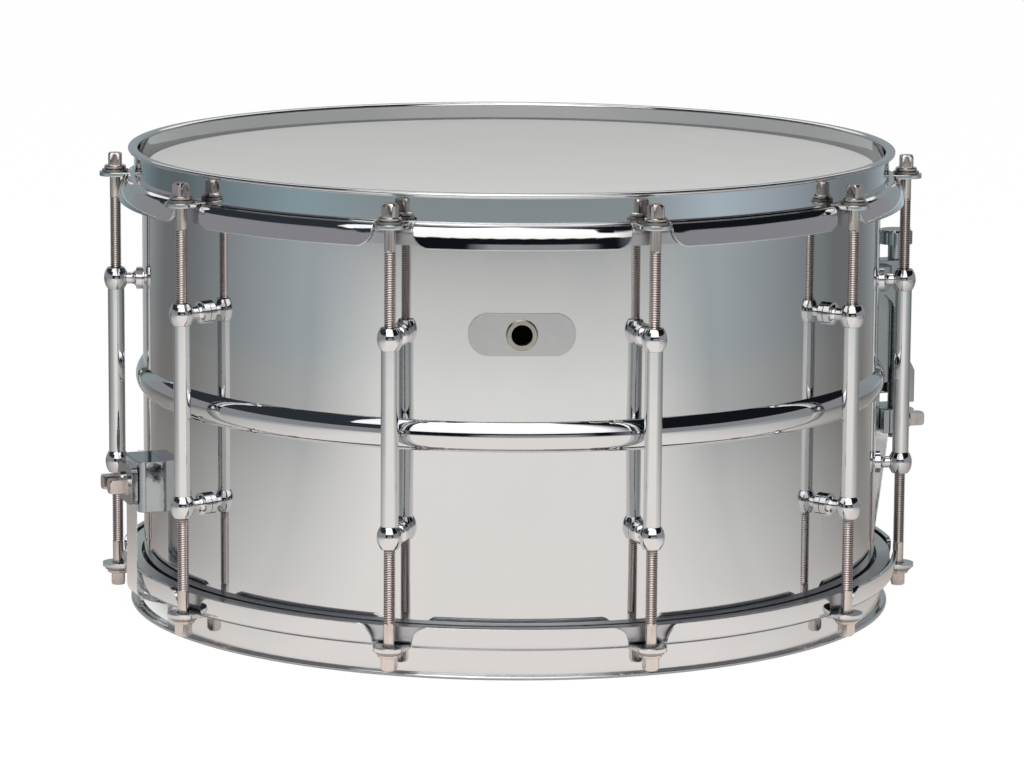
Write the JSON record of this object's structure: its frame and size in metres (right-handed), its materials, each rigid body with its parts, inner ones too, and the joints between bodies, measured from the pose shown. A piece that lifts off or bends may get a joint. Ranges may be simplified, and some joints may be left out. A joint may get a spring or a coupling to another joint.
{
  "type": "snare drum",
  "caption": "Deep snare drum with a beaded chromed steel shell, tube lugs, triple-flanged hoops, coated batter head, snare wires, a lever throw-off and a butt plate.",
  "frame": {"origin": "centre of the lower hoop's lip, in the plane that the drum stands on", "axes": "+Z along the shell's axis, up towards the batter head; -Y to the front, where the vent is; the throw-off is at 18 degrees from +X towards +Y"},
  "size_m": [0.4057, 0.3764, 0.22],
  "materials": {
    "shell_chrome": "rolled steel sheet, polished and chrome plated",
    "hoop_chrome": "rolled steel, polished and chrome plated",
    "lug_chrome": "turned brass, polished and chrome plated",
    "cast_chrome": "die-cast zinc, chrome plated",
    "rod_nickel": "rolled-thread steel, dull nickel plated",
    "washer_steel": "stamped steel, nickel plated",
    "screw_steel": "steel, zinc plated",
    "plate_steel": "stamped sheet, brushed",
    "eyelet_nickel": "rolled eyelet, nickel plated",
    "insert_brass": "turned brass",
    "flesh_alloy": "rolled channel, mill finish",
    "batter_film": "polyester film with a white sprayed coating",
    "snare_film": "thin hazy polyester film",
    "snare_wire": "coiled steel wire, bright",
    "strap_film": "clear polyester strap"
  },
  "bodies": {
    "drum": {"shell": "shell_chrome", "vent_eyelet": "eyelet_nickel", "vent_plate": "plate_steel", "batter_film": "batter_film", "batter_flesh_hoop": "flesh_alloy", "snare_film": "snare_film", "snare_flesh_hoop": "flesh_alloy", "lug_tubes": "lug_chrome", "lug_posts": "lug_chrome", "lug_inserts": "insert_brass", "lug_screws": "screw_steel", "lug_washers": "screw_steel", "strainer_body": "cast_chrome", "lever_pivots": "screw_steel", "strainer_screws": "screw_steel", "butt_body": "cast_chrome", "butt_plate": "cast_chrome", "butt_clamp_screws": "rod_nickel", "butt_screws": "screw_steel", "butt_strap": "strap_film"},
    "batter_rim": {"batter_hoop": "hoop_chrome", "batter_rod_washers": "washer_steel"},
    "snare_rim": {"snare_hoop": "hoop_chrome", "snare_rod_washers": "washer_steel"},
    "lever": {"strainer_lever": "cast_chrome"},
    "carriage": {"strainer_carriage": "cast_chrome", "strainer_strap": "strap_film"},
    "tuner": {"tension_knob": "cast_chrome", "tension_screw": "screw_steel", "screw_clip": "screw_steel"},
    "strap_clamp": {"strap_block": "cast_chrome", "strap_plate": "cast_chrome", "strap_screws": "rod_nickel"},
    "snares": {"snare_strands": "snare_wire", "snare_end_plates": "plate_steel"},
    "batter_rod_1_body": {"batter_rod_1": "rod_nickel"},
    "batter_rod_2_body": {"batter_rod_2": "rod_nickel"},
    "batter_rod_3_body": {"batter_rod_3": "rod_nickel"},
    "batter_rod_4_body": {"batter_rod_4": "rod_nickel"},
    "batter_rod_5_body": {"batter_rod_5": "rod_nickel"},
    "batter_rod_6_body": {"batter_rod_6": "rod_nickel"},
    "batter_rod_7_body": {"batter_rod_7": "rod_nickel"},
    "batter_rod_8_body": {"batter_rod_8": "rod_nickel"},
    "batter_rod_9_body": {"batter_rod_9": "rod_nickel"},
    "batter_rod_10_body": {"batter_rod_10": "rod_nickel"},
    "snare_rod_1_body": {"snare_rod_1": "rod_nickel"},
    "snare_rod_2_body": {"snare_rod_2": "rod_nickel"},
    "snare_rod_3_body": {"snare_rod_3": "rod_nickel"},
    "snare_rod_4_body": {"snare_rod_4": "rod_nickel"},
    "snare_rod_5_body": {"snare_rod_5": "rod_nickel"},
    "snare_rod_6_body": {"snare_rod_6": "rod_nickel"},
    "snare_rod_7_body": {"snare_rod_7": "rod_nickel"},
    "snare_rod_8_body": {"snare_rod_8": "rod_nickel"},
    "snare_rod_9_body": {"snare_rod_9": "rod_nickel"},
    "snare_rod_10_body": {"snare_rod_10": "rod_nickel"}
  },
  "joints": [
    {"name": "batter_rim_slide", "type": "slide", "parent": "drum", "child": "batter_rim", "axis": [0, 0, 1], "range_m": [0, 0.012]},
    {"name": "snare_rim_slide", "type": "slide", "parent": "drum", "child": "snare_rim", "axis": [0, 0, -1], "range_m": [0, 0.00106]},
    {"name": "lever_swing", "type": "hinge", "parent": "drum", "child": "lever", "pos_m": [0.1807, 0.05871, 0.146], "axis": [0.309, -0.9511, 0], "range_deg": [0, 90]},
    {"name": "carriage_slide", "type": "slide", "parent": "drum", "child": "carriage", "axis": [0, 0, 1], "range_m": [-0.007, 0], "deforming": ["strainer_strap"]},
    {"name": "snares_drop", "type": "slide", "parent": "drum", "child": "snares", "axis": [0, 0, 1], "range_m": [-0.0025, 0], "deforming": ["butt_strap"]},
    {"name": "tuner_turn", "type": "hinge", "parent": "carriage", "child": "tuner", "pos_m": [0.1924, 0.06251, 0.167], "axis": [0, 0, 1], "range_deg": [-1080, 1080]},
    {"name": "strap_clamp_travel", "type": "slide", "parent": "carriage", "child": "strap_clamp", "axis": [0, 0, 1], "range_m": [-0.0024, 0.0024]},
    {"name": "batter_rod_1_turn", "type": "hinge", "parent": "batter_rim", "child": "batter_rod_1_body", "pos_m": [0.05868, -0.18061, 0.11], "axis": [0, 0, 1], "range_deg": [0, 4082]},
    {"name": "batter_rod_2_turn", "type": "hinge", "parent": "batter_rim", "child": "batter_rod_2_body", "pos_m": [0.15363, -0.11162, 0.11], "axis": [0, 0, 1], "range_deg": [0, 4082]},
    {"name": "batter_rod_3_turn", "type": "hinge", "parent": "batter_rim", "child": "batter_rod_3_body", "pos_m": [0.1899, 0, 0.11], "axis": [0, 0, 1], "range_deg": [0, 4082]},
    {"name": "batter_rod_4_turn", "type": "hinge", "parent": "batter_rim", "child": "batter_rod_4_body", "pos_m": [0.15363, 0.11162, 0.11], "axis": [0, 0, 1], "range_deg": [0, 4082]},
    {"name": "batter_rod_5_turn", "type": "hinge", "parent": "batter_rim", "child": "batter_rod_5_body", "pos_m": [0.05868, 0.18061, 0.11], "axis": [0, 0, 1], "range_deg": [0, 4082]},
    {"name": "batter_rod_6_turn", "type": "hinge", "parent": "batter_rim", "child": "batter_rod_6_body", "pos_m": [-0.05868, 0.18061, 0.11], "axis": [0, 0, 1], "range_deg": [0, 4082]},
    {"name": "batter_rod_7_turn", "type": "hinge", "parent": "batter_rim", "child": "batter_rod_7_body", "pos_m": [-0.15363, 0.11162, 0.11], "axis": [0, 0, 1], "range_deg": [0, 4082]},
    {"name": "batter_rod_8_turn", "type": "hinge", "parent": "batter_rim", "child": "batter_rod_8_body", "pos_m": [-0.1899, 0, 0.11], "axis": [0, 0, 1], "range_deg": [0, 4082]},
    {"name": "batter_rod_9_turn", "type": "hinge", "parent": "batter_rim", "child": "batter_rod_9_body", "pos_m": [-0.15363, -0.11162, 0.11], "axis": [0, 0, 1], "range_deg": [0, 4082]},
    {"name": "batter_rod_10_turn", "type": "hinge", "parent": "batter_rim", "child": "batter_rod_10_body", "pos_m": [-0.05868, -0.18061, 0.11], "axis": [0, 0, 1], "range_deg": [0, 4082]},
    {"name": "snare_rod_1_turn", "type": "hinge", "parent": "snare_rim", "child": "snare_rod_1_body", "pos_m": [0.05868, -0.18061, 0.11], "axis": [0, 0, -1], "range_deg": [0, 360]},
    {"name": "snare_rod_2_turn", "type": "hinge", "parent": "snare_rim", "child": "snare_rod_2_body", "pos_m": [0.15363, -0.11162, 0.11], "axis": [0, 0, -1], "range_deg": [0, 360]},
    {"name": "snare_rod_3_turn", "type": "hinge", "parent": "snare_rim", "child": "snare_rod_3_body", "pos_m": [0.1899, 0, 0.11], "axis": [0, 0, -1], "range_deg": [0, 360]},
    {"name": "snare_rod_4_turn", "type": "hinge", "parent": "snare_rim", "child": "snare_rod_4_body", "pos_m": [0.15363, 0.11162, 0.11], "axis": [0, 0, -1], "range_deg": [0, 360]},
    {"name": "snare_rod_5_turn", "type": "hinge", "parent": "snare_rim", "child": "snare_rod_5_body", "pos_m": [0.05868, 0.18061, 0.11], "axis": [0, 0, -1], "range_deg": [0, 360]},
    {"name": "snare_rod_6_turn", "type": "hinge", "parent": "snare_rim", "child": "snare_rod_6_body", "pos_m": [-0.05868, 0.18061, 0.11], "axis": [0, 0, -1], "range_deg": [0, 360]},
    {"name": "snare_rod_7_turn", "type": "hinge", "parent": "snare_rim", "child": "snare_rod_7_body", "pos_m": [-0.15363, 0.11162, 0.11], "axis": [0, 0, -1], "range_deg": [0, 360]},
    {"name": "snare_rod_8_turn", "type": "hinge", "parent": "snare_rim", "child": "snare_rod_8_body", "pos_m": [-0.1899, 0, 0.11], "axis": [0, 0, -1], "range_deg": [0, 360]},
    {"name": "snare_rod_9_turn", "type": "hinge", "parent": "snare_rim", "child": "snare_rod_9_body", "pos_m": [-0.15363, -0.11162, 0.11], "axis": [0, 0, -1], "range_deg": [0, 360]},
    {"name": "snare_rod_10_turn", "type": "hinge", "parent": "snare_rim", "child": "snare_rod_10_body", "pos_m": [-0.05868, -0.18061, 0.11], "axis": [0, 0, -1], "range_deg": [0, 360]}
  ],
  "couplings": [
    {"joint": "lever_swing", "follows": "carriage_slide", "rad_per_m": -224.39},
    {"joint": "snares_drop", "follows": "carriage_slide", "ratio": 0.35714},
    {"joint": "tuner_turn", "follows": "strap_clamp_travel", "rad_per_m": 7853.9},
    {"joint": "batter_rod_1_turn", "follows": "batter_rim_slide", "rad_per_m": 5936.9},
    {"joint": "batter_rod_2_turn", "follows": "batter_rim_slide", "rad_per_m": 5936.9},
    {"joint": "batter_rod_3_turn", "follows": "batter_rim_slide", "rad_per_m": 5936.9},
    {"joint": "batter_rod_4_turn", "follows": "batter_rim_slide", "rad_per_m": 5936.9},
    {"joint": "batter_rod_5_turn", "follows": "batter_rim_slide", "rad_per_m": 5936.9},
    {"joint": "batter_rod_6_turn", "follows": "batter_rim_slide", "rad_per_m": 5936.9},
    {"joint": "batter_rod_7_turn", "follows": "batter_rim_slide", "rad_per_m": 5936.9},
    {"joint": "batter_rod_8_turn", "follows": "batter_rim_slide", "rad_per_m": 5936.9},
    {"joint": "batter_rod_9_turn", "follows": "batter_rim_slide", "rad_per_m": 5936.9},
    {"joint": "batter_rod_10_turn", "follows": "batter_rim_slide", "rad_per_m": 5936.9},
    {"joint": "snare_rod_1_turn", "follows": "snare_rim_slide", "rad_per_m": 5936.9},
    {"joint": "snare_rod_2_turn", "follows": "snare_rim_slide", "rad_per_m": 5936.9},
    {"joint": "snare_rod_3_turn", "follows": "snare_rim_slide", "rad_per_m": 5936.9},
    {"joint": "snare_rod_4_turn", "follows": "snare_rim_slide", "rad_per_m": 5936.9},
    {"joint": "snare_rod_5_turn", "follows": "snare_rim_slide", "rad_per_m": 5936.9},
    {"joint": "snare_rod_6_turn", "follows": "snare_rim_slide", "rad_per_m": 5936.9},
    {"joint": "snare_rod_7_turn", "follows": "snare_rim_slide", "rad_per_m": 5936.9},
    {"joint": "snare_rod_8_turn", "follows": "snare_rim_slide", "rad_per_m": 5936.9},
    {"joint": "snare_rod_9_turn", "follows": "snare_rim_slide", "rad_per_m": 5936.9},
    {"joint": "snare_rod_10_turn", "follows": "snare_rim_slide", "rad_per_m": 5936.9}
  ]
}
